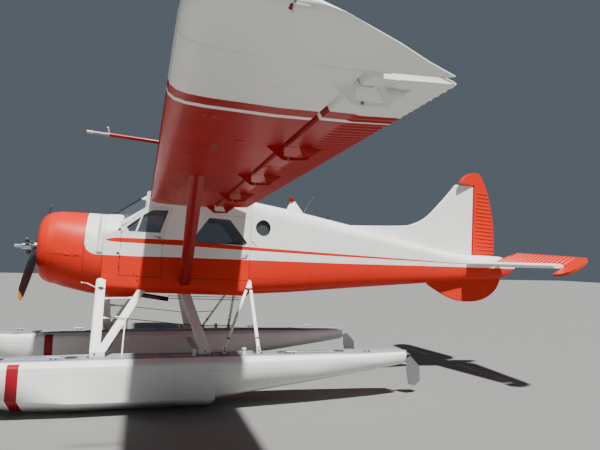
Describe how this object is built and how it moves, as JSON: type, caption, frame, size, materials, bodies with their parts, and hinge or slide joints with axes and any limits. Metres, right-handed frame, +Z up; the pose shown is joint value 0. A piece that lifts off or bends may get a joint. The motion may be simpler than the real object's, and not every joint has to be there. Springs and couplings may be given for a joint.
{
  "type": "radial-engined floatplane",
  "caption": "High-wing bush floatplane with a radial engine, two-blade propeller, hinged doors, flaps and control surfaces, standing on the keels of its two floats.",
  "frame": {"origin": "Centre of the bounding box at the bottom, at the height of the keels.", "axes": "+X towards the nose, +Y to the left wing tip, +Z up, with the keels level."},
  "size_m": [10.0052, 14.6292, 3.9334],
  "materials": {
    "orange": "gloss",
    "white": "gloss",
    "hull_orange": "gloss",
    "hull_white": "gloss",
    "crimson": "gloss",
    "engine": "satin",
    "steel": "satin",
    "bare_metal": "satin",
    "black": "satin",
    "glass": "polished",
    "panel": "matte",
    "upholstery": "matte"
  },
  "bodies": {
    "airframe": {"nose_ring": "orange", "cowl_upper": "orange", "cowl_lower": "orange", "accessory_cowl": "white", "engine": "engine", "firewall": "steel", "side_wall_left": "white", "side_wall_right": "white", "cabin_floor": "hull_orange", "cabin_roof": "white", "exhaust_pipe": "steel", "windscreen_frame": "white", "windscreen_left": "glass", "windscreen_right": "glass", "nose_deck": "white", "instrument_panel": "panel", "seat_left": "upholstery", "seat_right": "upholstery", "cabin_bench": "upholstery", "rear_fuselage": "hull_white", "porthole_glass_left": "glass", "porthole_glass_right": "glass", "tail_cone": "hull_orange", "fin": "hull_white", "sea_fin": "hull_orange", "tailplane": "hull_white", "wing_left": "crimson", "wing_right": "crimson", "wing_strut_left": "crimson", "wing_strut_right": "crimson", "float_left": "hull_white", "float_right": "hull_white", "front_struts_left": "hull_white", "front_struts_right": "hull_white", "rear_strut_left": "hull_white", "rear_strut_right": "hull_white", "vee_strut_left": "hull_white", "vee_strut_right": "hull_white", "spreader_bar_front": "bare_metal", "spreader_bar_rear": "bare_metal"},
    "propeller": {"propeller_hub": "steel", "propeller_blade_1": "black", "propeller_blade_2": "black"},
    "front_door_left": {"front_door_left": "white", "front_door_glass_left": "glass"},
    "front_door_right": {"front_door_right": "white", "front_door_glass_right": "glass"},
    "cabin_door_left": {"cabin_door_left": "white", "cabin_door_glass_left": "glass"},
    "cabin_door_right": {"cabin_door_right": "white", "cabin_door_glass_right": "glass"},
    "flap_left": {"flap_left": "hull_orange"},
    "flap_right": {"flap_right": "hull_orange"},
    "aileron_left": {"aileron_left": "hull_orange"},
    "aileron_right": {"aileron_right": "hull_orange"},
    "elevator": {"elevator": "hull_orange"},
    "rudder": {"rudder": "hull_orange"},
    "water_rudder_left": {"water_rudder_left": "bare_metal"},
    "water_rudder_right": {"water_rudder_right": "bare_metal"}
  },
  "joints": [
    {"name": "propeller_spin", "type": "hinge", "parent": "airframe", "child": "propeller", "pos_m": [3.91343, 0, 2.22721], "axis": [0.9996, 0, 0.0279], "continuous": true},
    {"name": "front_door_left_hinge", "type": "hinge", "parent": "airframe", "child": "front_door_left", "pos_m": [2.62277, 0.619, 2.16115], "axis": [0.0279, 0, -0.9996], "range_deg": [0, 80]},
    {"name": "front_door_right_hinge", "type": "hinge", "parent": "airframe", "child": "front_door_right", "pos_m": [2.62277, -0.619, 2.16115], "axis": [-0.0279, 0, 0.9996], "range_deg": [0, 80]},
    {"name": "cabin_door_left_hinge", "type": "hinge", "parent": "airframe", "child": "cabin_door_left", "pos_m": [1.57399, 0.619, 2.28191], "axis": [0.0279, 0, -0.9996], "range_deg": [0, 70]},
    {"name": "cabin_door_right_hinge", "type": "hinge", "parent": "airframe", "child": "cabin_door_right", "pos_m": [1.57399, -0.619, 2.28191], "axis": [-0.0279, 0, 0.9996], "range_deg": [0, 70]},
    {"name": "flap_left_hinge", "type": "hinge", "parent": "airframe", "child": "flap_left", "pos_m": [1.02472, 0.61136, 2.85681], "axis": [0.0006, -0.9997, -0.0227], "range_deg": [0, 58]},
    {"name": "flap_right_hinge", "type": "hinge", "parent": "airframe", "child": "flap_right", "pos_m": [1.02472, -0.61136, 2.85681], "axis": [-0.0006, -0.9997, 0.0227], "range_deg": [0, 58]},
    {"name": "aileron_left_hinge", "type": "hinge", "parent": "airframe", "child": "aileron_left", "pos_m": [1.02472, 0.61136, 2.85681], "axis": [-0.0006, 0.9997, 0.0227], "range_deg": [-20, 20]},
    {"name": "aileron_right_hinge", "type": "hinge", "parent": "airframe", "child": "aileron_right", "pos_m": [1.02472, -0.61136, 2.85681], "axis": [0.0006, 0.9997, -0.0227], "range_deg": [-20, 20]},
    {"name": "elevator_hinge", "type": "hinge", "parent": "airframe", "child": "elevator", "pos_m": [-4.36627, 0, 2.10098], "axis": [0, 1, 0], "range_deg": [-48, 0]},
    {"name": "rudder_hinge", "type": "hinge", "parent": "airframe", "child": "rudder", "pos_m": [-4.01658, 0, 2.29582], "axis": [-0.0279, 0, 0.9996], "range_deg": [-42, 8]},
    {"name": "water_rudder_left_post", "type": "hinge", "parent": "airframe", "child": "water_rudder_left", "pos_m": [-1.81242, 1.42, 0.62], "axis": [0, 0, 1], "range_deg": [-42, 8]},
    {"name": "water_rudder_right_post", "type": "hinge", "parent": "airframe", "child": "water_rudder_right", "pos_m": [-1.81242, -1.42, 0.62], "axis": [0, 0, 1], "range_deg": [-42, 8]}
  ],
  "couplings": [
    {"joint": "flap_right_hinge", "follows": "flap_left_hinge", "ratio": 1},
    {"joint": "aileron_right_hinge", "follows": "aileron_left_hinge", "ratio": -1},
    {"joint": "water_rudder_left_post", "follows": "rudder_hinge", "ratio": 1},
    {"joint": "water_rudder_right_post", "follows": "rudder_hinge", "ratio": 1}
  ]
}
